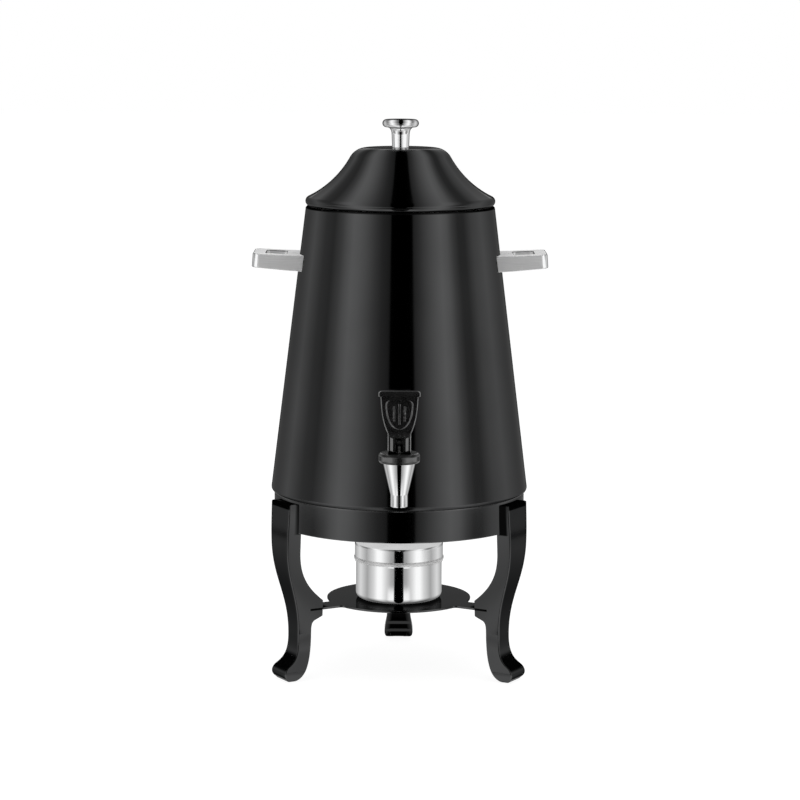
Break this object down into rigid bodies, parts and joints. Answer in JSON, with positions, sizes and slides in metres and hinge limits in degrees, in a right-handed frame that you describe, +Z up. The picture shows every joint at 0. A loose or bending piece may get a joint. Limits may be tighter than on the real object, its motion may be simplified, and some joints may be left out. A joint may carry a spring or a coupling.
{
  "type": "hot drink urn",
  "caption": "Cone-shaped black drink urn with a bell lid, loop handles and a lever tap, on a cabriole-legged stand that carries a covered fuel cup.",
  "frame": {"origin": "the point on the table under the axis of the tank, in the middle of the three feet", "axes": "+Z up along the tank's axis, -Y towards the tap, +X to the right of someone who faces the tap"},
  "size_m": [0.2964, 0.3205, 0.5592],
  "materials": {
    "black_sheet": "mirror-bright black plating on sheet steel",
    "black_casting": "glossy black coating on a casting",
    "polished_steel": "polished stainless steel and chrome",
    "plain_steel": "plain stainless steel",
    "black_plastic": "moulded black plastic, glossy",
    "silicone": "translucent grey silicone"
  },
  "bodies": {
    "urn": {"stand_ring": "black_sheet", "leg_left": "black_casting", "leg_right": "black_casting", "leg_rear": "black_casting", "leg_screws": "plain_steel", "fuel_plate": "black_sheet", "tank_shell": "black_sheet", "tank_floor": "plain_steel", "handle_left": "polished_steel", "handle_right": "polished_steel", "handle_screws": "plain_steel", "handle_washers": "silicone", "tap_body": "polished_steel", "shank_gasket_outer": "silicone", "shank_gasket_inner": "silicone", "shank_nut": "polished_steel", "tap_bonnet": "black_plastic", "tap_spring": "plain_steel"},
    "lid": {"lid_shell": "black_sheet", "lid_collar": "plain_steel", "lid_knob": "polished_steel", "knob_screw": "plain_steel", "knob_washer": "plain_steel"},
    "valve": {"valve_stem": "plain_steel", "seat_cup": "silicone", "lever_pin": "plain_steel"},
    "lever": {"tap_lever": "black_plastic"},
    "fuel_cup": {"fuel_cup": "polished_steel"},
    "fuel_lid": {"fuel_cup_lid": "polished_steel"}
  },
  "joints": [
    {"name": "lid_lift", "type": "slide", "parent": "urn", "child": "lid", "axis": [0, 0, 1], "range_m": [0, 0.15]},
    {"name": "valve_lift", "type": "slide", "parent": "urn", "child": "valve", "axis": [0, 0, 1], "range_m": [0, 0.003], "deforming": ["tap_spring"]},
    {"name": "lever_tilt", "type": "hinge", "parent": "valve", "child": "lever", "pos_m": [0, -0.16129, 0.258], "axis": [1, 0, 0], "range_deg": [0, 45], "stiffness_Nm_per_rad": 0.1, "springref_deg": -28.65},
    {"name": "fuel_cup_slide", "type": "slide", "parent": "urn", "child": "fuel_cup", "axis": [0, -1, 0], "range_m": [0, 0.18]},
    {"name": "fuel_lid_lift", "type": "slide", "parent": "fuel_cup", "child": "fuel_lid", "axis": [0, 0, 1], "range_m": [0, 0.022]}
  ],
  "couplings": [
    {"joint": "valve_lift", "follows": "lever_tilt", "m_per_rad": 0.0038197}
  ]
}
